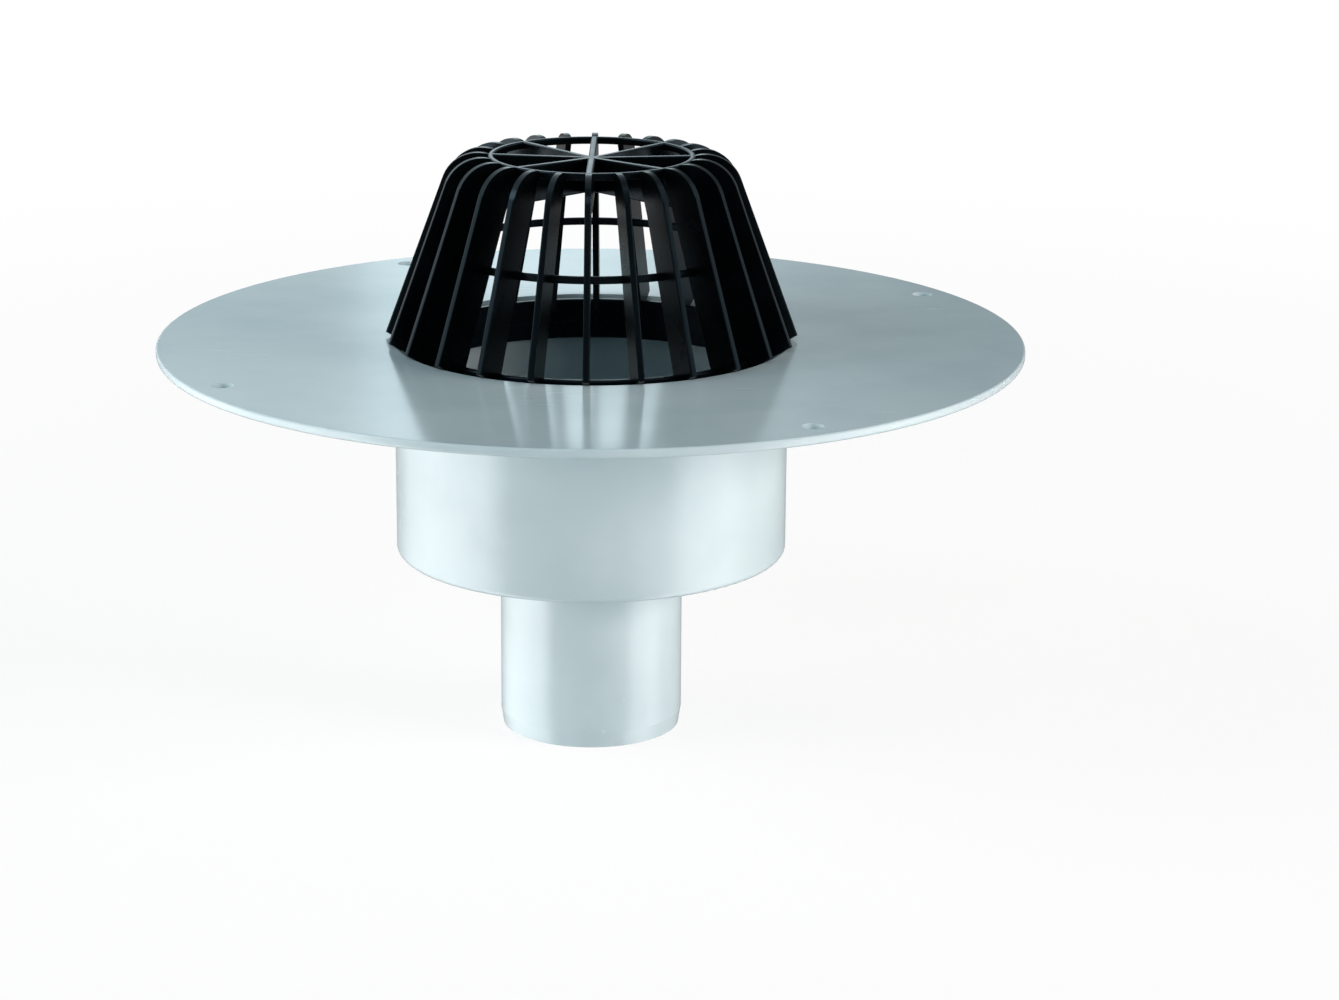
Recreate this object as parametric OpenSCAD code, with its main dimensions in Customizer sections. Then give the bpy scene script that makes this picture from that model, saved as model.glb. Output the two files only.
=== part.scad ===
// Flat roof drain: a moulded PVC outlet with a deck flange, a sump and a spigot,
// and a leaf guard of radial ribs that stands in the sump's mouth.
// +Z is up. The origin is the middle of the spigot's lower end.

/* [Flange] */
// Diameter of the deck flange
flange_d = 351; // [300:1:450]
// Thickness of the deck flange
flange_t = 3.7; // [3:0.1:6]
// Rounding of the flange's upper rim edge
rim_top_r = 0.9; // [0.3:0.1:1.2]
// Rounding of the flange's lower rim edge
rim_low_r = 1.6; // [0.5:0.1:1.6]

/* [Screw holes] */
// Number of screw holes through the flange
hole_count = 4; // [3:1:12]
// Distance from the middle of each screw hole to the flange's rim
hole_inset = 12; // [8:0.5:30]
// Diameter of each screw hole
hole_d = 4.8; // [3:0.1:7]
// Diameter of the countersink at the flange's top face
sink_d = 8.7; // [7.5:0.1:12]
// Direction of the first screw hole, seen from above
hole_turn = 31.5; // [0:0.5:89.5]

/* [Sump] */
// Outer diameter of the sump
sump_d = 160; // [125:1:200]
// Wall of the sump
sump_wall = 4.2; // [2.5:0.1:5]
// Height of the sump, from its underside to the flange's top face
sump_h = 88.5; // [60:1:140]
// Thickness of the sump's floor
floor_t = 3.6; // [3:0.1:6]
// Rounding of the sump's lower outer edge
sump_edge_r = 2.6; // [1:0.1:3]
// Rounding of the corner between the sump's floor and its wall, inside
sump_nook_r = 5; // [2:0.5:8]
// Fillet between the sump and the flange's underside
neck_r = 4; // [2:0.5:6]
// How far the flange's top face dips towards the mouth before the sump's bore
mouth_w = 5; // [3:0.1:6]
// Slope of that dip, from the horizontal
mouth_slope = 27.5; // [20:0.5:30]

/* [Spigot] */
// Outer diameter of the spigot
pipe_d = 75; // [50:1:110]
// Wall of the spigot
pipe_wall = 3; // [2:0.1:4]
// Length of the spigot below the sump
pipe_l = 75; // [40:1:150]
// How far the bevel at the spigot's end goes in
bevel_w = 1; // [0.5:0.1:1.5]
// How far that bevel goes up
bevel_h = 6.5; // [2:0.5:10]
// Rounding of the inlet edge, where the floor meets the spigot's bore
inlet_r = 2.4; // [1:0.1:2.9]
// Fillet between the spigot and the sump's underside
root_r = 2; // [1:0.1:5]

/* [Guard ribs] */
// Number of ribs around the guard
rib_count = 24; // [16:8:32]
// Thickness of each rib
rib_t = 2.5; // [1.8:0.1:3.5]
// Lean of the ribs' outer edges, from the vertical
rib_lean = 20.3; // [12:0.1:26]
// Lean of the ribs' inner edges, from the vertical
rib_back_lean = 19.3; // [12:0.1:22]
// Depth of each rib at the level of the flange's top face
rib_depth = 15.6; // [12:0.1:22]
// How far below the spokes' underside the ribs' inner edges bend towards the ring
rib_bend = 1.2; // [0.5:0.1:8]
// Rounding of the ribs' shoulders
shoulder_r = 15.3; // [8:0.1:18]
// Height of the shoulders' highest point above the flange's top face
guard_h = 75.7; // [60:0.1:100]
// How far the ribs' feet stand out past the edge of the mouth
foot_reach = 2.8; // [1:0.1:6]

/* [Guard rings] */
// Outer diameter of the top ring
ring_d = 83.4; // [70:0.1:95]
// Width of the top ring's section
ring_w = 2.3; // [1.6:0.1:4]
// Height of the top ring's section
ring_h = 3; // [2:0.1:8]
// Height of the hoop's top edge above the flange's top face
hoop_z = 37.9; // [20:0.1:45]
// Width of the hoop's section
hoop_w = 2; // [1.6:0.1:4]
// Height of the hoop's section
hoop_h = 3.1; // [2:0.1:6]
// How far the hoop lies out from the ribs' inner edges
hoop_inset = 0.4; // [0:0.1:6]

/* [Guard spokes] */
// Number of spokes under the top ring, each in line with a rib
spoke_count = 8; // [4:4:8]
// Thickness of each spoke
spoke_t = 2.8; // [1.8:0.1:4]
// Depth of the spokes at the ring
spoke_h = 14.9; // [8:0.1:20]
// How far the spokes' top edges dip towards the middle
spoke_dip = 1.2; // [0:0.1:2]

/* [Guard skirt] */
// Gap between the skirt and the sump's bore
skirt_gap = 2.5; // [0.5:0.1:4]
// Wall of the skirt
skirt_wall = 2.9; // [2:0.1:4]
// How far the skirt goes down below the flange's top face
skirt_h = 17; // [12:0.5:30]
// Rounding of the skirt's top edge
skirt_edge_r = 0.9; // [0.3:0.1:1]
// Part of the skirt's wall that the step inside takes away
skirt_step = 0.9; // [0.3:0.1:1.2]
// Height of the thicker band at the skirt's top
skirt_band_h = 9.8; // [6:0.1:11]
// Gap between the ribs' feet and the dip that they stand on
seat_gap = 0.25; // [0.1:0.05:0.5]

/* [Hidden] */
$fn = 96;

// A cut runs this far past the face that it opens.
past = 1;

// Levels from the spigot's end up
sump_z = pipe_l;
floor_z = sump_z + floor_t;
top_z = sump_z + sump_h;
deck_z = top_z - flange_t;

// Radii of the outlet
flange_r = flange_d / 2;
sump_r = sump_d / 2;
bore_r = sump_r - sump_wall;
mouth_r = bore_r + mouth_w;
mouth_h = mouth_w * tan(mouth_slope);
pipe_r = pipe_d / 2;
pipe_bore_r = pipe_r - pipe_wall;
hole_circle_r = flange_r - hole_inset;
// A countersink of a right angle is as deep as it is wide.
sink_h = (sink_d - hole_d) / 2;

// Skirt of the guard
skirt_r = bore_r - skirt_gap;
skirt_in_r = skirt_r - skirt_wall;
skirt_mid_r = (skirt_r + skirt_in_r) / 2;
skirt_low_z = top_z - skirt_h;
band_low_z = top_z - skirt_band_h;

// Rib profile: the foot runs along the mouth's dip, seat_gap above it.
foot_r = mouth_r + foot_reach;
foot_rise = seat_gap / cos(mouth_slope);
function foot_z(r) = top_z + foot_rise + (r - mouth_r) * tan(mouth_slope);
function rib_out_r(z) = foot_r - (z - foot_z(foot_r)) * tan(rib_lean);
rib_in_foot_r = rib_out_r(top_z) - rib_depth;
function rib_in_r(z) = rib_in_foot_r - (z - top_z) * tan(rib_back_lean);
// Middle of the shoulder's arc, which touches the outer edge and the guard's highest level
arc_z = top_z + guard_h - shoulder_r;
arc_r = rib_out_r(arc_z) - shoulder_r / cos(rib_lean);
touch_r = arc_r + shoulder_r * cos(rib_lean);
touch_z = arc_z + shoulder_r * sin(rib_lean);
// The ring's top edge is where the shoulder's arc comes down to it.
ring_r = ring_d / 2;
ring_in_r = ring_r - ring_w;
ring_mid_r = ring_r - ring_w / 2;
ring_top_z = arc_z + sqrt(pow(shoulder_r, 2) - pow(arc_r - ring_r, 2));
ring_low_z = ring_top_z - ring_h;
under_z = ring_top_z - spoke_h;
bend_z = under_z - rib_bend;
// The hoop lies in the ribs, out from their inner edges.
hoop_top_z = top_z + hoop_z;
hoop_low_z = hoop_top_z - hoop_h;
hoop_in_r = rib_in_r(hoop_low_z) + hoop_inset;

// What lies between a square corner at the origin and an arc that touches both its legs
module nook(r) {
    difference() {
        translate([-past, -past]) square(r + past);
        translate([r, r]) circle(r);
    }
}

// The same, with nothing past the legs: added to a corner it makes a fillet
module fillet(r) {
    intersection() {
        nook(r);
        square(r);
    }
}

// Half of the outlet's section, without its bores
module outlet_outline() {
    difference() {
        union() {
            translate([0, deck_z]) square([flange_r, flange_t]);
            translate([0, sump_z]) square([sump_r, sump_h - flange_t]);
            square([pipe_r, sump_z]);
            translate([sump_r, deck_z]) mirror([0, 1]) fillet(neck_r);
            translate([pipe_r, sump_z]) mirror([0, 1]) fillet(root_r);
        }
        translate([flange_r, top_z]) rotate(180) nook(rim_top_r);
        translate([flange_r, deck_z]) mirror([1, 0]) nook(rim_low_r);
        translate([sump_r, sump_z]) mirror([1, 0]) nook(sump_edge_r);
        polygon([
            [pipe_r, bevel_h],
            [pipe_r - bevel_w, 0],
            [pipe_r - bevel_w, -past],
            [pipe_r + past, -past],
            [pipe_r + past, bevel_h]
        ]);
    }
}

// Half of the space inside the outlet: the dip and the mouth, the sump and the spigot's bore
module outlet_space() {
    difference() {
        union() {
            translate([0, floor_z]) square([bore_r, sump_h]);
            polygon([
                [0, top_z - mouth_h],
                [bore_r, top_z - mouth_h],
                [mouth_r, top_z],
                [mouth_r, top_z + past],
                [0, top_z + past]
            ]);
        }
        translate([bore_r, floor_z]) mirror([1, 0]) nook(sump_nook_r);
    }
    translate([0, -past]) square([pipe_bore_r, floor_z + 2 * past]);
    translate([pipe_bore_r, floor_z]) mirror([0, 1]) fillet(inlet_r);
}

module outlet_body() {
    color("#c9d6da")
    difference() {
        rotate_extrude() difference() {
            outlet_outline();
            outlet_space();
        }
        for (i = [0 : hole_count - 1])
            rotate(hole_turn + i * 360 / hole_count) translate([hole_circle_r, 0, 0])
                screw_hole();
    }
}

// Straight hole with a countersink at the flange's top face
module screw_hole() {
    translate([0, 0, deck_z - past]) cylinder(h = flange_t + 2 * past, d = hole_d);
    translate([0, 0, top_z - sink_h]) cylinder(h = sink_h, d1 = hole_d, d2 = sink_d);
    translate([0, 0, top_z]) cylinder(h = past, d = sink_d);
}

// Outline of one rib, with its outer edge away from the guard's axis
module rib_outline() {
    foot_in_z = foot_z(skirt_mid_r);
    toe_z = foot_in_z - (skirt_mid_r - rib_in_r(foot_in_z));
    polygon([
        [foot_r, foot_z(foot_r)],
        [touch_r, touch_z],
        [rib_in_r(bend_z), bend_z],
        [rib_in_r(foot_in_z), foot_in_z],
        [skirt_mid_r, toe_z],
        [skirt_mid_r, foot_in_z]
    ]);
    // The shoulder, whose inner edge runs from the bend to the ring's lower edge
    intersection() {
        translate([arc_r, arc_z]) circle(shoulder_r);
        polygon([
            [rib_in_r(bend_z), bend_z],
            [foot_r, bend_z],
            [foot_r, top_z + guard_h + past],
            [ring_mid_r, top_z + guard_h + past],
            [ring_mid_r, ring_low_z]
        ]);
    }
}

module rib() {
    rotate([90, 0, 0]) translate([0, 0, -rib_t / 2])
        linear_extrude(rib_t) rib_outline();
}

// Two spokes in one line across the ring, with their ends inside the ribs
module spoke_pair() {
    end_r = rib_in_r(under_z) + ring_w / 2;
    rotate([90, 0, 0]) translate([0, 0, -spoke_t / 2])
        linear_extrude(spoke_t) polygon([
            [-end_r, under_z],
            [end_r, under_z],
            [ring_mid_r, ring_top_z],
            [0, ring_top_z - spoke_dip],
            [-ring_mid_r, ring_top_z]
        ]);
}

// Ring whose section is a rectangle of w by h, with its lowest inner corner at r and z
module hoop(r, z, w, h) {
    rotate_extrude() translate([r, z]) square([w, h]);
}

// Plug that hangs in the sump's mouth, thinner below its top band
module skirt() {
    rotate_extrude() difference() {
        translate([skirt_in_r, skirt_low_z]) square([skirt_wall, skirt_h]);
        translate([skirt_in_r, top_z]) mirror([0, 1]) nook(skirt_edge_r);
        translate([skirt_r, top_z]) rotate(180) nook(skirt_edge_r);
        translate([skirt_in_r - past, skirt_low_z - past])
            square([skirt_step + past, skirt_h - skirt_band_h + past]);
    }
}

module leaf_guard() {
    color("#1b1e20") {
        for (i = [0 : rib_count - 1]) rotate(i * 360 / rib_count) rib();
        for (i = [0 : spoke_count / 2 - 1]) rotate(i * 360 / spoke_count) spoke_pair();
        hoop(ring_in_r, ring_low_z, ring_w, ring_h);
        hoop(hoop_in_r, hoop_low_z, hoop_w, hoop_h);
        skirt();
    }
}

outlet_body();
leaf_guard();
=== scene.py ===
"""Looks for a flat roof drain: the finish of its PVC outlet, its moulded leaf guard and a plain studio."""

import math

import bmesh
import bpy
from bpy.props import FloatProperty, FloatVectorProperty, IntProperty, PointerProperty
from mathutils import Matrix, Vector


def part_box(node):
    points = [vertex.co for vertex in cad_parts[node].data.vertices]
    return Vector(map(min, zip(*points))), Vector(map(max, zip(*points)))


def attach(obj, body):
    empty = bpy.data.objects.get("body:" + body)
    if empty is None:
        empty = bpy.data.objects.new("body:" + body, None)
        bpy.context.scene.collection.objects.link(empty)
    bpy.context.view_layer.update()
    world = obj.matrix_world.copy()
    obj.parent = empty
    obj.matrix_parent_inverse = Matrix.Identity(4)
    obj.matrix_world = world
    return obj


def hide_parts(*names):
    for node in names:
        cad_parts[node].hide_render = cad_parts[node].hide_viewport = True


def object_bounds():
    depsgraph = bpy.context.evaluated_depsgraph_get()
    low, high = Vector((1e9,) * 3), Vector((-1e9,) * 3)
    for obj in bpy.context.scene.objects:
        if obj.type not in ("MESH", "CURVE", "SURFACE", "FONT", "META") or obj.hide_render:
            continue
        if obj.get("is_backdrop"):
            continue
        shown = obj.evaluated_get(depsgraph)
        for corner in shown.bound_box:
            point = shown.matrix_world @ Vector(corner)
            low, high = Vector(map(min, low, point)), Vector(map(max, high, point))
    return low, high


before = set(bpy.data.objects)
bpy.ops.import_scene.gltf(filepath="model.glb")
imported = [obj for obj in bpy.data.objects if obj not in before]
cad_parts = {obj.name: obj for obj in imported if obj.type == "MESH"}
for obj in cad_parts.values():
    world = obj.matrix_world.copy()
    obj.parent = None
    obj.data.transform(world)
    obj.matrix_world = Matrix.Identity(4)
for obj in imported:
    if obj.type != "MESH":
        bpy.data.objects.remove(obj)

bl_info = {
    "name": "Flat roof drain",
    "version": (1, 0, 0),
    "blender": (4, 5, 0),
    "location": "View3D > Sidebar > Roof drain",
    "description": "Finishes the outlet, moulds the leaf guard and sets up the studio",
    "category": "Object",
}

MM = 0.001
# The deck flange's top face is the outlet's highest level, and the guard's sizes start from it.
DECK_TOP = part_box("outlet_body")[1].z
WHITE = (1.0, 1.0, 1.0)
# Edges that are sharper than this stay sharp in the shading.
SHARP_FROM = math.radians(50)
# Share of the cells of the speck pattern that hold a speck.
SPECKED_CELLS = 0.2


def colour(hex_code):
    """Linear RGB of an sRGB hex colour such as "8fa3a8"."""
    parts = [int(hex_code[i:i + 2], 16) / 255 for i in (0, 2, 4)]
    return tuple(p / 12.92 if p <= 0.04045 else ((p + 0.055) / 1.055) ** 2.4 for p in parts)


def length(name, description, millimetres):
    return FloatProperty(name=name, description=description, default=millimetres * MM,
                         min=0.0, subtype="DISTANCE", unit="LENGTH")


def angle(name, description, degrees):
    return FloatProperty(name=name, description=description, default=math.radians(degrees),
                         subtype="ANGLE", unit="ROTATION")


def share(name, description, value):
    return FloatProperty(name=name, description=description, default=value,
                         min=0.0, max=1.0, subtype="FACTOR")


def level(name, description, value):
    return FloatProperty(name=name, description=description, default=value, min=0.0)


def power(name, description, watts):
    return FloatProperty(name=name, description=description, default=watts,
                         min=0, subtype="POWER", unit="POWER")


def tint(name, description, hex_code):
    return FloatVectorProperty(name=name, description=description, default=colour(hex_code),
                               min=0.0, max=1.0, size=3, subtype="COLOR")


class OutletFinish(bpy.types.PropertyGroup):
    pvc: tint("PVC", "Colour of the moulded PVC", "b2c5ca")
    pvc_clouded: tint("Clouded PVC", "Colour of the PVC in its slightly duller clouds", "a9bdc3")
    speck: tint("Speck", "Colour of the few dark specks moulded into the PVC", "6d7d83")
    roughness: share("Roughness", "Roughness of the PVC where it is clean", 0.16)
    worn_roughness: share("Worn roughness", "Roughness of the PVC where it is scuffed", 0.3)
    wave: length("Wave", "Length of the slow waves that the mould leaves in flat faces", 45)
    scuff: length("Scuff", "Length of a scuff", 18)
    speck_gap: length("Speck gap", "Mean distance between the specks", 21)
    speck_d: length("Speck size", "Diameter of a speck", 0.7)
    line_gap: length("Polishing lines", "Distance between the mould's faint polishing lines", 1.6)


class GuardSizes(bpy.types.PropertyGroup):
    rib_count: IntProperty(name="Ribs", description="Number of ribs", default=24, min=8, max=48)
    rib_foot_t: length("Foot thickness", "Thickness of each rib at its foot", 2.6)
    rib_top_t: length("Top thickness", "Thickness of each rib at its shoulder", 2.4)
    rib_lean: angle("Lean", "Lean of the ribs' outer edges", 20.3)
    rib_back_lean: angle("Back lean", "Lean of the ribs' inner edges", 19.3)
    rib_depth: length("Depth", "Depth of each rib at the deck's level", 15.6)
    rib_bend: length("Bend", "How far below the spokes the ribs' inner edges bend towards the ring", 1.2)
    shoulder_r: length("Shoulder", "Radius of the ribs' shoulders", 15.3)
    guard_h: length("Height", "Height of the shoulders above the deck", 75.7)
    mouth_r: length("Mouth", "Radius of the dip's edge that the feet stand on", 80.8)
    mouth_slope: angle("Mouth slope", "Slope of that dip", 27.5)
    foot_reach: length("Foot reach", "How far the feet pass the dip's edge", 2.8)
    seat_gap: length("Seat gap", "Gap between the feet and the dip", 0.25)
    edge_r: length("Edge rounding", "Rounding of the ribs' and spokes' edges", 0.7)
    ring_d: length("Ring", "Outer diameter of the top ring", 83.4)
    ring_w: length("Ring width", "Width of the top ring's section", 2.3)
    ring_h: length("Ring height", "Height of the top ring's section", 3.0)
    hoop_z: length("Hoop level", "Height of the hoop's top edge above the deck", 37.9)
    hoop_w: length("Hoop width", "Width of the hoop's section", 2.0)
    hoop_h: length("Hoop height", "Height of the hoop's section", 3.1)
    hoop_inset: length("Hoop inset", "How far the hoop lies out from the ribs' inner edges", 0.4)
    spoke_count: IntProperty(name="Spokes", description="Number of spokes", default=8, min=4, max=16)
    spoke_t: length("Spoke thickness", "Thickness of each spoke", 2.8)
    spoke_h: length("Spoke depth", "Depth of the spokes", 14.9)
    spoke_dip: length("Spoke dip", "How far the spokes' top edges dip towards the middle", 1.2)
    skirt_r: length("Skirt", "Outer radius of the skirt", 73.3)
    skirt_wall: length("Skirt wall", "Wall of the skirt", 2.9)
    skirt_h: length("Skirt height", "Height of the skirt", 17)
    skirt_step: length("Skirt step", "Step inside the skirt", 0.9)
    skirt_band_h: length("Skirt band", "Height of the skirt's thicker band", 9.8)
    skirt_edge_r: length("Skirt edge", "Rounding of the skirt's top edge", 0.9)


class GuardFinish(bpy.types.PropertyGroup):
    plastic: tint("Plastic", "Colour of the guard's plastic", "030506")
    plastic_worn: tint("Worn plastic", "Colour of the guard's plastic where it is handled", "06090b")
    roughness: share("Roughness", "Roughness of the guard's plastic", 0.25)
    gloss: share("Gloss", "How strongly the guard's plastic mirrors, where 0.5 is usual", 0.3)
    sheen: tint("Sheen", "Tint of what the guard's plastic mirrors", "b4d2e6")
    grain: length("Grain", "Size of the mould's grain", 0.9)


class StudioSettings(bpy.types.PropertyGroup):
    floor: tint("Floor", "Colour of the floor", "f4f6f6")
    floor_d: length("Floor size", "Width of the floor", 12000)
    ambient: share("Ambient", "Strength of the even light from all round", 0.25)
    mirrored: level("Mirrored", "Strength of the room that gloss mirrors", 1.0)
    left_low: power("Left low lamp", "Power of the low soft box on the left", 96)
    left_high: power("Left high lamp", "Power of the high soft box on the left", 20)
    right_low: power("Right low lamp", "Power of the low strip light on the right", 25)
    right_box: power("Right soft box", "Power of the soft box on the right", 68)
    front_box: power("Front soft box", "Power of the high soft box in front", 12)
    front_low: power("Front low lamp", "Power of the low strip light in front", 2.6)
    rear_box: power("Rear soft box", "Power of the soft box behind, which the flange mirrors", 2.4)
    warm: tint("Side light", "Colour of the lamps at the sides", "ffede7")
    cool: tint("Other light", "Colour of the high lamps, of those in front and behind and of the even light",
               "e3f8ff")
    floor_share: share("Floor shading", "How much of the floor's own shading is seen, the rest being white",
                       0.16)
    shading_fades: length("Shading fades", "Distance from the axis where the floor's shading starts to fade",
                          500)
    shading_ends: length("Shading ends", "Distance from the axis where the floor is even white", 1200)
    camera_distance: length("Camera distance", "Level distance of the camera from the drain's axis", 1418.2)
    camera_rise: length("Camera rise", "Height of the camera above the deck flange", 335.0)
    camera_turn: angle("Camera turn", "Turn of the camera round the drain, from a rib", 1.53)
    camera_yaw: angle("Camera yaw", "How far the camera looks to the right of the axis", 1.298)
    camera_pitch: angle("Camera pitch", "How far the camera looks down", 15.884)
    camera_roll: angle("Camera roll", "Roll of the camera", 0.4367)
    camera_lens: FloatProperty(name="Lens", description="Focal length of the camera",
                               default=96.33, min=1, subtype="DISTANCE_CAMERA", unit="CAMERA")


def add(tree, kind, inputs=(), **settings):
    """Adds one node. Each input, by name or number, takes a value, another node or one of its outputs."""
    node = tree.nodes.new(kind)
    for name, value in settings.items():
        setattr(node, name, value)
    shown = [socket for socket in node.inputs if socket.enabled]
    for name, value in dict(inputs).items():
        socket = shown[name] if isinstance(name, int) else next(s for s in shown if s.name == name)
        if isinstance(value, bpy.types.Node):
            value = next(s for s in value.outputs if s.enabled)
        if isinstance(value, bpy.types.NodeSocket):
            tree.links.new(value, socket)
        else:
            socket.default_value = value
    return node


def opaque(rgb):
    return (*rgb, 1.0)


def new_material(name):
    """An empty node material and its tree."""
    material = bpy.data.materials.new(name)
    material.use_nodes = True
    material.node_tree.nodes.clear()
    return material, material.node_tree


def moulded_pvc(finish):
    """PVC, injection moulded in a polished mould: a smooth gloss over the slow waves that flow leaves.

    The eye sees soft clouds, a few dark specks, dull scuffs where it was slid about, and on the walls the
    mould's faint polishing lines. Those are 0.1 mm apart, and are drawn coarser so that they show.
    """
    material, tree = new_material("pvc_moulded_gloss")
    place = add(tree, "ShaderNodeTexCoord").outputs["Object"]
    cloud = add(tree, "ShaderNodeTexNoise", {"Vector": place, "Scale": 1 / finish.wave, "Detail": 3.0})
    dull = add(tree, "ShaderNodeMapRange", {"Value": cloud, "From Min": 0.42, "From Max": 0.68})
    clouded = add(tree, "ShaderNodeMix",
                  {"Factor": dull, "A": opaque(finish.pvc), "B": opaque(finish.pvc_clouded)},
                  data_type="RGBA")
    cell = add(tree, "ShaderNodeTexVoronoi", {"Vector": place, "Scale": 1 / finish.speck_gap})
    chance = add(tree, "ShaderNodeSeparateColor", {"Color": cell.outputs["Color"]})
    chosen = add(tree, "ShaderNodeMath", {0: chance, 1: SPECKED_CELLS}, operation="LESS_THAN")
    rim = finish.speck_d / finish.speck_gap
    dot = add(tree, "ShaderNodeMapRange", {"Value": cell, "From Min": rim, "From Max": 0.5 * rim})
    speck = add(tree, "ShaderNodeMath", {0: dot, 1: chosen}, operation="MULTIPLY")
    tone = add(tree, "ShaderNodeMix", {"Factor": speck, "A": clouded, "B": opaque(finish.speck)},
               data_type="RGBA")
    # Scuffs are long and thin, lie nearly one way and come in patches.
    scuffs = []
    for turn in (4, -9):
        lie = add(tree, "ShaderNodeMapping", {"Vector": place, "Rotation": (0, 0, math.radians(turn)),
                                              "Scale": (0.03, 1, 0.12)})
        fine = add(tree, "ShaderNodeTexNoise", {"Vector": lie, "Scale": 1 / (0.03 * finish.scuff)})
        scuffs.append(add(tree, "ShaderNodeMapRange", {"Value": fine, "From Min": 0.6, "From Max": 0.75}))
    scuffed = add(tree, "ShaderNodeMath", {0: scuffs[0], 1: scuffs[1]}, operation="MAXIMUM")
    wide = add(tree, "ShaderNodeTexNoise", {"Vector": place, "Scale": 1 / (1.7 * finish.wave)})
    patch = add(tree, "ShaderNodeMapRange", {"Value": wide, "From Min": 0.5, "From Max": 0.66})
    worn = add(tree, "ShaderNodeMath", {0: scuffed, 1: patch}, operation="MULTIPLY")
    mixed = add(tree, "ShaderNodeMath", {0: cloud, 1: 0.2, 2: worn}, operation="MULTIPLY_ADD")
    rough = add(tree, "ShaderNodeMapRange", {"Value": mixed, "To Min": finish.roughness - 0.02,
                                             "To Max": finish.worn_roughness})
    # The polishing lines lie level round the walls.
    level_lie = add(tree, "ShaderNodeMapping", {"Vector": place, "Scale": (0.04, 0.04, 1)})
    lines = add(tree, "ShaderNodeTexNoise", {"Vector": level_lie, "Scale": 1 / finish.line_gap})
    height = add(tree, "ShaderNodeMath", {0: lines, 1: 0.02, 2: cloud}, operation="MULTIPLY_ADD")
    bump = add(tree, "ShaderNodeBump", {"Height": height, "Strength": 0.35, "Distance": 0.35 * MM})
    shader = add(tree, "ShaderNodeBsdfPrincipled",
                 {"Base Color": tone, "Roughness": rough, "Normal": bump, "IOR": 1.53})
    add(tree, "ShaderNodeOutputMaterial", {"Surface": shader})
    return material


def moulded_polypropylene(finish):
    """Black polypropylene, moulded in a finely eroded mould.

    The eye sees a satin skin with a faint grain, a little greyer in wide patches where it is handled.
    """
    material, tree = new_material("polypropylene_moulded_black_satin")
    place = add(tree, "ShaderNodeTexCoord").outputs["Object"]
    grain = add(tree, "ShaderNodeTexNoise", {"Vector": place, "Scale": 1 / finish.grain})
    cloud = add(tree, "ShaderNodeTexNoise", {"Vector": place, "Scale": 1 / (20 * finish.grain)})
    handled = add(tree, "ShaderNodeMapRange", {"Value": cloud, "From Min": 0.45, "From Max": 0.75})
    tone = add(tree, "ShaderNodeMix", {"Factor": handled, "A": opaque(finish.plastic),
                                       "B": opaque(finish.plastic_worn)}, data_type="RGBA")
    rough = add(tree, "ShaderNodeMapRange", {"Value": cloud, "To Min": finish.roughness - 0.05,
                                             "To Max": finish.roughness + 0.07})
    bump = add(tree, "ShaderNodeBump", {"Height": grain, "Strength": 0.3, "Distance": 0.05 * MM})
    shader = add(tree, "ShaderNodeBsdfPrincipled",
                 {"Base Color": tone, "Roughness": rough, "Normal": bump, "IOR": 1.49,
                  "Specular IOR Level": finish.gloss, "Specular Tint": opaque(finish.sheen)})
    add(tree, "ShaderNodeOutputMaterial", {"Surface": shader})
    return material


def rounded(outline, radii, steps=4):
    """The closed outline with each corner rounded by its radius, as (radius, height) points."""
    made = []
    count = len(outline)
    for i, (corner, r) in enumerate(zip(outline, radii)):
        here = Vector(corner)
        if not r:
            made.append(tuple(here))
            continue
        back = (Vector(outline[i - 1]) - here).normalized()
        ahead = (Vector(outline[(i + 1) % count]) - here).normalized()
        half = back.angle(ahead) / 2
        start, end = here + back * (r / math.tan(half)), here + ahead * (r / math.tan(half))
        middle = here + (back + ahead).normalized() * (r / math.sin(half))
        for k in range(steps + 1):
            arm = (start - middle).slerp(end - middle, k / steps)
            made.append(tuple(middle + arm.normalized() * r))
    return made


def turned(mesh, outline, segments=144):
    """Adds the closed outline of (radius, height) points, turned round the drain's axis."""
    rings = []
    for k in range(segments):
        a = 2 * math.pi * k / segments
        rings.append([mesh.verts.new((r * math.cos(a), r * math.sin(a), z)) for r, z in outline])
    count = len(outline)
    for k, ring in enumerate(rings):
        after = rings[(k + 1) % segments]
        for i in range(count):
            j = (i + 1) % count
            mesh.faces.new((ring[i], after[i], after[j], ring[j]))


def plate(outline, thickness_at, edge_r):
    """A flat piece in the plane of the axis, as thick as thickness_at(height), with rounded edges."""
    made = bmesh.new()
    sides = []
    for side in (-1, 1):
        sides.append([made.verts.new((r, side * thickness_at(z) / 2, z)) for r, z in outline])
    count = len(outline)
    made.faces.new(sides[0])
    made.faces.new(sides[1][::-1])
    for i in range(count):
        j = (i + 1) % count
        made.faces.new((sides[0][j], sides[0][i], sides[1][i], sides[1][j]))
    rims = [e for e in made.edges if len({v.co.y > 0 for v in e.verts}) == 1]
    bmesh.ops.bevel(made, geom=rims, offset=edge_r, offset_type="OFFSET", segments=3,
                    profile=0.5, affect="EDGES", clamp_overlap=True)
    bmesh.ops.recalc_face_normals(made, faces=made.faces)
    return made


def copies_round(mesh, piece, turns):
    """Adds a copy of the piece at each turn round the drain's axis."""
    holder = bpy.data.meshes.new("holder")
    piece.to_mesh(holder)
    piece.free()
    for turn in turns:
        before = len(mesh.verts)
        mesh.from_mesh(holder)
        mesh.verts.ensure_lookup_table()
        bmesh.ops.transform(mesh, matrix=Matrix.Rotation(turn, 4, "Z"), verts=mesh.verts[before:])
    bpy.data.meshes.remove(holder)


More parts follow.
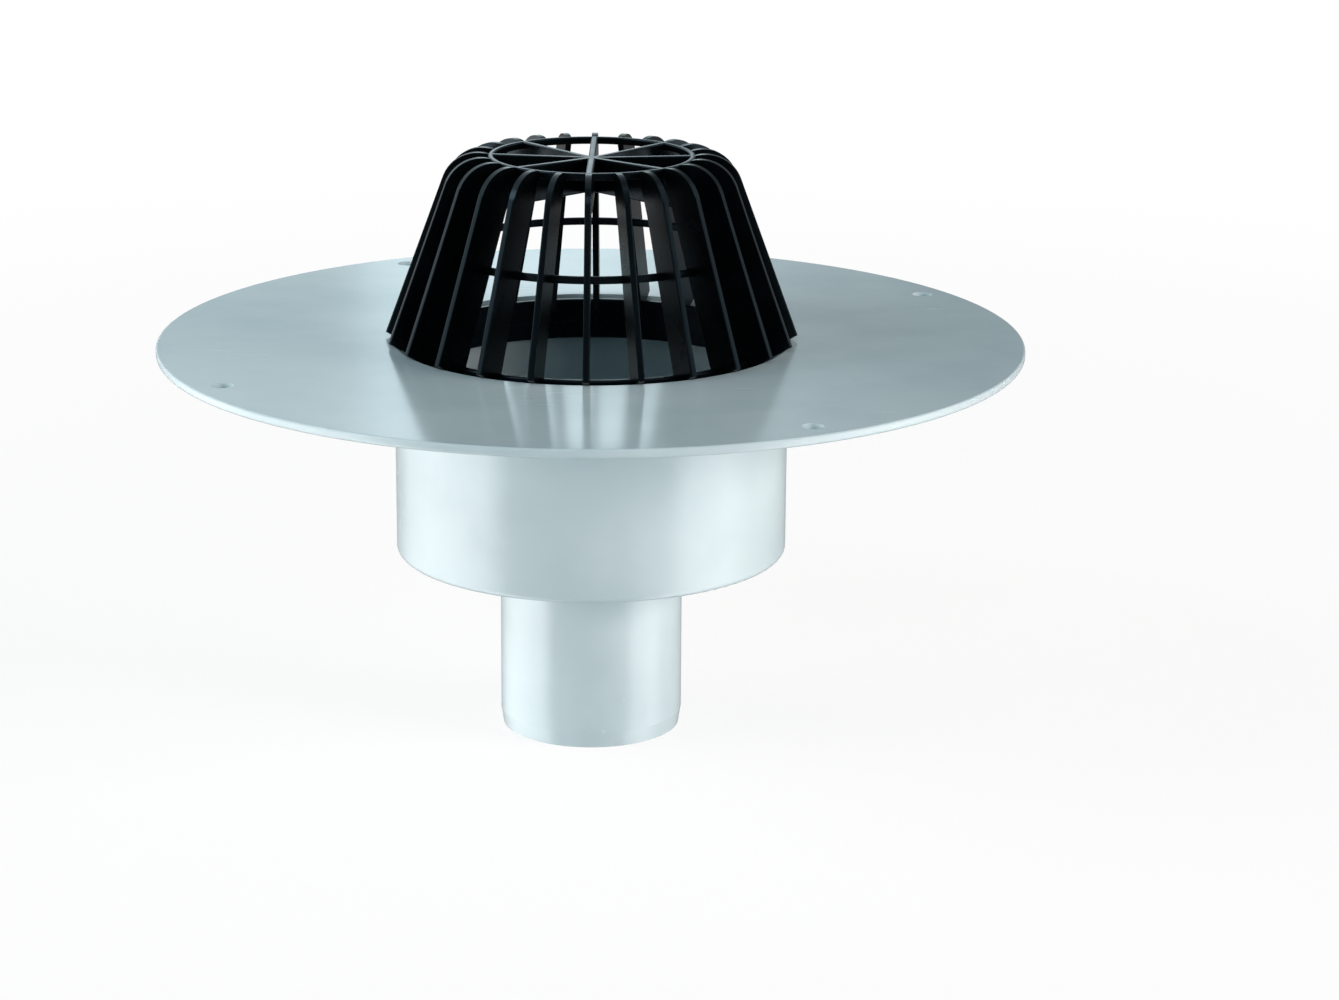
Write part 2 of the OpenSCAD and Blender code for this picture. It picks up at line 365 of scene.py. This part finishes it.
class GuardShape:
    """The guard's lines in the plane of its axis, all from its sizes."""

    def __init__(self, s):
        self.s = s
        self.slope = math.tan(s.mouth_slope)
        self.foot_r = s.mouth_r + s.foot_reach
        self.arc_z = DECK_TOP + s.guard_h - s.shoulder_r
        self.arc_r = self.out_r(self.arc_z) - s.shoulder_r / math.cos(s.rib_lean)
        self.ring_r = s.ring_d / 2
        self.ring_mid_r = self.ring_r - s.ring_w / 2
        self.ring_top = self.arc_z + math.sqrt(s.shoulder_r ** 2 - (self.arc_r - self.ring_r) ** 2)
        self.ring_low = self.ring_top - s.ring_h
        self.under = self.ring_top - s.spoke_h
        self.bend = self.under - s.rib_bend
        self.skirt_mid_r = s.skirt_r - s.skirt_wall / 2

    def foot_z(self, r):
        return DECK_TOP + self.s.seat_gap / math.cos(self.s.mouth_slope) + (r - self.s.mouth_r) * self.slope

    def out_r(self, z):
        return self.foot_r - (z - self.foot_z(self.foot_r)) * math.tan(self.s.rib_lean)

    def in_r(self, z):
        return self.out_r(DECK_TOP) - self.s.rib_depth - (z - DECK_TOP) * math.tan(self.s.rib_back_lean)

    def rib(self, arc_steps=16):
        """A rib's outline, from its foot up the outer edge, round the shoulder and down the inner edge."""
        s = self.s
        outline = [(self.foot_r, self.foot_z(self.foot_r))]
        last = math.acos((self.ring_mid_r - self.arc_r) / s.shoulder_r)
        for k in range(arc_steps + 1):
            a = s.rib_lean + (last - s.rib_lean) * k / arc_steps
            outline.append((self.arc_r + s.shoulder_r * math.cos(a),
                            self.arc_z + s.shoulder_r * math.sin(a)))
        foot_in_z = self.foot_z(self.skirt_mid_r)
        toe_z = foot_in_z - (self.skirt_mid_r - self.in_r(foot_in_z))
        outline += [(self.ring_mid_r, self.ring_low), (self.in_r(self.bend), self.bend),
                    (self.in_r(foot_in_z), foot_in_z), (self.skirt_mid_r, toe_z),
                    (self.skirt_mid_r, foot_in_z)]
        return outline

    def rib_thickness(self, z):
        s = self.s
        rise = (z - DECK_TOP) / s.guard_h
        return s.rib_foot_t + (s.rib_top_t - s.rib_foot_t) * min(max(rise, 0.0), 1.0)

    def spoke_pair(self):
        """Two spokes in one line, with their ends inside the ribs."""
        r, end = self.ring_mid_r, self.in_r(self.under) + self.s.ring_w / 2
        return [(-end, self.under), (end, self.under), (r, self.ring_top),
                (0, self.ring_top - self.s.spoke_dip), (-r, self.ring_top)]

    def ring(self):
        s = self.s
        return box_section(self.ring_r - s.ring_w, self.ring_low, s.ring_w, s.ring_h, s.edge_r)

    def hoop(self):
        s = self.s
        low = DECK_TOP + s.hoop_z - s.hoop_h
        return box_section(self.in_r(low) + s.hoop_inset, low, s.hoop_w, s.hoop_h, s.edge_r)

    def skirt(self):
        s = self.s
        inner, low, step_z = s.skirt_r - s.skirt_wall, DECK_TOP - s.skirt_h, DECK_TOP - s.skirt_band_h
        outline = [(inner, DECK_TOP), (inner, step_z), (inner + s.skirt_step, step_z),
                   (inner + s.skirt_step, low), (s.skirt_r, low), (s.skirt_r, DECK_TOP)]
        return rounded(outline, [s.skirt_edge_r, 0.3 * MM, 0.2 * MM, s.edge_r, s.edge_r, s.skirt_edge_r])


def box_section(r, z, w, h, edge_r):
    """A rectangle w by h with its lowest inner corner at r and z, and rounded corners."""
    return rounded([(r, z), (r + w, z), (r + w, z + h), (r, z + h)], [edge_r] * 4)


def finished(name, mesh, material):
    """Makes the object from the mesh, smooth between its sharp edges."""
    data = bpy.data.meshes.new(name)
    bmesh.ops.recalc_face_normals(mesh, faces=mesh.faces)
    mesh.to_mesh(data)
    mesh.free()
    data.shade_smooth()
    data.set_sharp_from_angle(angle=SHARP_FROM)
    data.materials.append(material)
    obj = bpy.data.objects.new(name, data)
    bpy.context.scene.collection.objects.link(obj)
    weights = obj.modifiers.new("flat faces stay flat", "WEIGHTED_NORMAL")
    weights.keep_sharp = True
    return obj


class DRAIN_OT_outlet(bpy.types.Operator):
    """Gives the outlet its PVC finish"""

    bl_idname = "drain.outlet"
    bl_label = "Finish the outlet"

    def execute(self, context):
        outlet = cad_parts["outlet_body"]
        outlet.data.materials.clear()
        outlet.data.materials.append(moulded_pvc(context.scene.drain_outlet))
        return {"FINISHED"}


class DRAIN_OT_leaf_guard(bpy.types.Operator):
    """Moulds the leaf guard: its ribs, ring, hoop, spokes and skirt are one piece"""

    bl_idname = "drain.leaf_guard"
    bl_label = "Mould the leaf guard"

    def execute(self, context):
        s = context.scene.drain_guard
        shape = GuardShape(s)
        mesh = bmesh.new()
        ribs = [2 * math.pi * i / s.rib_count for i in range(s.rib_count)]
        copies_round(mesh, plate(shape.rib(), shape.rib_thickness, s.edge_r), ribs)
        spokes = [2 * math.pi * i / s.spoke_count for i in range(s.spoke_count // 2)]
        copies_round(mesh, plate(shape.spoke_pair(), lambda z: s.spoke_t, s.edge_r), spokes)
        for section in (shape.ring(), shape.hoop(), shape.skirt()):
            turned(mesh, section)
        plastic = moulded_polypropylene(context.scene.drain_guard_finish)
        guard = finished("leaf_guard_moulding", mesh, plastic)
        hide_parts("leaf_guard")
        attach(guard, "root")
        return {"FINISHED"}


def lamp(name, watts, width, height, place, rgb, mirrored=True):
    """A soft box that faces the drain's middle, and that gloss mirrors or not."""
    light = bpy.data.lights.new(name, "AREA")
    light.color = rgb
    light.shape = "RECTANGLE"
    light.size, light.size_y = width, height
    light.energy = watts
    obj = bpy.data.objects.new(name, light)
    bpy.context.scene.collection.objects.link(obj)
    obj.visible_camera = False
    obj.visible_glossy = mirrored
    obj.location = place
    obj.rotation_mode = "QUATERNION"
    obj.rotation_quaternion = (LIT_POINT - Vector(place)).to_track_quat("-Z", "Y")


def round_about(distance, degrees, height):
    """A place at this distance from the axis. 0 degrees is towards the camera and 90 is to its right."""
    a = math.radians(degrees)
    return (distance * math.sin(a), -distance * math.cos(a), height)


# The lamps face this point, in the drain's middle.
LIT_POINT = Vector((0, 0, 0.13))
# What gloss mirrors of the room, as (bearing in degrees, level), with 0 at the camera and 90 to its right.
# The white backdrop stands behind and ends a little to the right, and the camera's side of the room is dim.
# The table, which is below, is lit brightly at the left and the right. The two meet where a ray's rise is
# between the horizon's limits. No level is above the brightest.
ROOM_ABOVE = ((-180, 0.71), (-178, 0.9), (-118, 0.9), (-112, 1.2), (-64, 1.2), (-44, 0.15),
              (44, 0.15), (60, 1.0), (112, 1.0), (124, 0.27), (176, 0.27), (180, 0.71))
ROOM_BELOW = ((-180, 0.25), (-146, 0.3), (-118, 1.9), (-94, 3.2), (-64, 3.8), (-46, 0.25),
              (46, 0.25), (58, 2.6), (84, 3.0), (106, 0.6), (146, 0.25), (180, 0.25))
ROOM_BRIGHTEST = 4.0
HORIZON = (-0.06, 0.04)


class DRAIN_OT_studio(bpy.types.Operator):
    """Sets up the floor, the even light, the soft boxes and the camera"""

    bl_idname = "drain.studio"
    bl_label = "Set up the studio"

    def execute(self, context):
        s = context.scene.drain_studio
        self.light_world(context.scene, s)
        self.lay_floor(s)
        lamp("left_low_box", s.left_low, 2.6, 0.8, round_about(2.6, -88, 0.5), s.warm, mirrored=False)
        lamp("left_high_box", s.left_high, 1.5, 1.0, round_about(2.2, -70, 2.0), s.cool)
        lamp("right_low_strip", s.right_low, 0.95, 0.45, round_about(2.6, 70, 0.26), s.warm, mirrored=False)
        lamp("right_soft_box", s.right_box, 2.0, 0.7, round_about(2.6, 74, 1.0), s.warm, mirrored=False)
        lamp("front_soft_box", s.front_box, 1.6, 1.2, round_about(2.4, 0, 3.0), s.cool)
        lamp("front_low_strip", s.front_low, 1.2, 0.25, round_about(2.8, 0, 0.15), s.cool, mirrored=False)
        lamp("rear_soft_box", s.rear_box, 0.55, 1.6, round_about(5.0, -176.8, 1.36), s.cool)
        self.place_camera(context.scene, s)
        context.scene.view_settings.view_transform = "Standard"
        return {"FINISHED"}

    def light_world(self, scene, s):
        """Even light all round, a white background to look at, and a graded room for gloss to mirror."""
        world = bpy.data.worlds.new("studio_world")
        scene.world = world
        world.use_nodes = True
        tree = world.node_tree
        tree.nodes.clear()
        path = add(tree, "ShaderNodeLightPath").outputs
        ray = add(tree, "ShaderNodeTexCoord").outputs["Generated"]
        heading = add(tree, "ShaderNodeSeparateXYZ", {0: ray}).outputs
        toward = add(tree, "ShaderNodeMath", {0: heading["Y"], 1: -1.0}, operation="MULTIPLY")
        bearing = add(tree, "ShaderNodeMath", {0: heading["X"], 1: toward}, operation="ARCTAN2")
        turn = add(tree, "ShaderNodeMapRange",
                   {"Value": bearing, "From Min": -math.pi, "From Max": math.pi})
        scales = []
        for levels in (ROOM_BELOW, ROOM_ABOVE):
            scale = add(tree, "ShaderNodeValToRGB", {0: turn})
            stops = scale.color_ramp.elements
            while len(stops) < len(levels):
                stops.new(0.5)
            for stop, (degrees, brightness) in zip(stops, levels):
                stop.position = (degrees + 180) / 360
                stop.color = opaque((brightness / ROOM_BRIGHTEST,) * 3)
            scales.append(scale)
        up = add(tree, "ShaderNodeMapRange",
                 {"Value": heading["Z"], "From Min": HORIZON[0], "From Max": HORIZON[1]})
        room = add(tree, "ShaderNodeMix", {"Factor": up, "A": scales[0], "B": scales[1]})
        strength = add(tree, "ShaderNodeMath", {0: room, 1: s.mirrored * ROOM_BRIGHTEST},
                       operation="MULTIPLY")
        tone = add(tree, "ShaderNodeMix", {"Factor": up, "A": opaque(WHITE), "B": opaque(s.cool)},
                   data_type="RGBA")
        mirrored = add(tree, "ShaderNodeBackground", {"Color": tone, "Strength": strength})
        even = add(tree, "ShaderNodeBackground", {"Color": opaque(s.cool), "Strength": s.ambient})
        white = add(tree, "ShaderNodeBackground", {"Color": opaque(WHITE), "Strength": 1.0})
        seen = add(tree, "ShaderNodeMath", {0: path["Is Camera Ray"], 1: path["Is Transmission Ray"]},
                   operation="MAXIMUM")
        lit = add(tree, "ShaderNodeMixShader", {0: path["Is Glossy Ray"], 1: even, 2: mirrored})
        shown = add(tree, "ShaderNodeMixShader", {0: seen, 1: lit, 2: white})
        add(tree, "ShaderNodeOutputWorld", {"Surface": shown})

    def lay_floor(self, s):
        """A matt white floor that keeps the drain's shadow.

        Elsewhere it looks as white as the background, and its own shading fades out away from the drain.
        """
        material, tree = new_material("paper_matt_white")
        paper = add(tree, "ShaderNodeBsdfDiffuse", {"Color": opaque(s.floor)})
        glow = add(tree, "ShaderNodeEmission", {"Color": opaque(WHITE), "Strength": 1.0})
        path = add(tree, "ShaderNodeLightPath").outputs
        seen = add(tree, "ShaderNodeMath", {0: path["Is Camera Ray"], 1: path["Is Transmission Ray"]},
                   operation="MAXIMUM")
        place = add(tree, "ShaderNodeTexCoord").outputs["Object"]
        away = add(tree, "ShaderNodeVectorMath", {0: place}, operation="LENGTH")
        whiteness = add(tree, "ShaderNodeMapRange", {"Value": away, "From Min": s.shading_fades,
                                                     "From Max": s.shading_ends,
                                                     "To Min": 1 - s.floor_share, "To Max": 1.0})
        even = add(tree, "ShaderNodeMath", {0: seen, 1: whiteness}, operation="MULTIPLY")
        surface = add(tree, "ShaderNodeMixShader", {0: even, 1: paper, 2: glow})
        add(tree, "ShaderNodeOutputMaterial", {"Surface": surface})
        mesh = bmesh.new()
        bmesh.ops.create_grid(mesh, x_segments=1, y_segments=1, size=s.floor_d / 2)
        data = bpy.data.meshes.new("floor")
        mesh.to_mesh(data)
        mesh.free()
        data.materials.append(material)
        floor = bpy.data.objects.new("floor", data)
        bpy.context.scene.collection.objects.link(floor)
        floor.location.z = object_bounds()[0].z
        # Gloss mirrors the room's levels instead, and they hold the lit table.
        floor.visible_glossy = False
        floor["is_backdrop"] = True

    def place_camera(self, scene, s):
        """The camera, which stands in front of a rib and looks down on the flange."""
        data = bpy.data.cameras.new("camera")
        data.lens = s.camera_lens
        data.sensor_width = 36
        camera = bpy.data.objects.new("camera", data)
        scene.collection.objects.link(camera)
        scene.camera = camera
        reach = math.cos(s.camera_pitch)
        ahead = Vector((math.sin(s.camera_yaw) * reach, math.cos(s.camera_yaw) * reach,
                        -math.sin(s.camera_pitch)))
        right = Vector((math.cos(s.camera_yaw), -math.sin(s.camera_yaw), 0))
        up = right.cross(ahead)
        c, n = math.cos(s.camera_roll), math.sin(s.camera_roll)
        right, up = right * c + up * n, up * c - right * n
        axes = Matrix((right, up, -ahead)).transposed().to_4x4()
        place = Matrix.Translation((0, -s.camera_distance, DECK_TOP + s.camera_rise))
        camera.matrix_world = Matrix.Rotation(s.camera_turn, 4, "Z") @ place @ axes


class DRAIN_PT_panel(bpy.types.Panel):
    """Lists the drain's sizes and finishes"""

    bl_idname = "DRAIN_PT_panel"
    bl_label = "Roof drain"
    bl_space_type = "VIEW_3D"
    bl_region_type = "UI"
    bl_category = "Roof drain"

    def draw(self, context):
        for attribute, (group, operator) in SETTINGS.items():
            box = self.layout.box()
            box.label(text=group.__name__)
            for name in group.__annotations__:
                box.prop(getattr(context.scene, attribute), name)
            if operator:
                box.operator(operator)


SETTINGS = {
    "drain_outlet": (OutletFinish, "drain.outlet"),
    "drain_guard": (GuardSizes, "drain.leaf_guard"),
    "drain_guard_finish": (GuardFinish, None),
    "drain_studio": (StudioSettings, "drain.studio"),
}
OPERATORS = (DRAIN_OT_outlet, DRAIN_OT_leaf_guard, DRAIN_OT_studio)


def register():
    for attribute, (group, _operator) in SETTINGS.items():
        bpy.utils.register_class(group)
        setattr(bpy.types.Scene, attribute, PointerProperty(type=group))
    for made in (*OPERATORS, DRAIN_PT_panel):
        bpy.utils.register_class(made)


def unregister():
    for made in (DRAIN_PT_panel, *OPERATORS):
        bpy.utils.unregister_class(made)
    for attribute, (group, _operator) in SETTINGS.items():
        delattr(bpy.types.Scene, attribute)
        bpy.utils.unregister_class(group)


def main():
    """Builds everything in order."""
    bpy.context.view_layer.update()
    register()
    bpy.ops.drain.outlet()
    bpy.ops.drain.leaf_guard()
    bpy.ops.drain.studio()


if __name__ == "__main__":
    main()
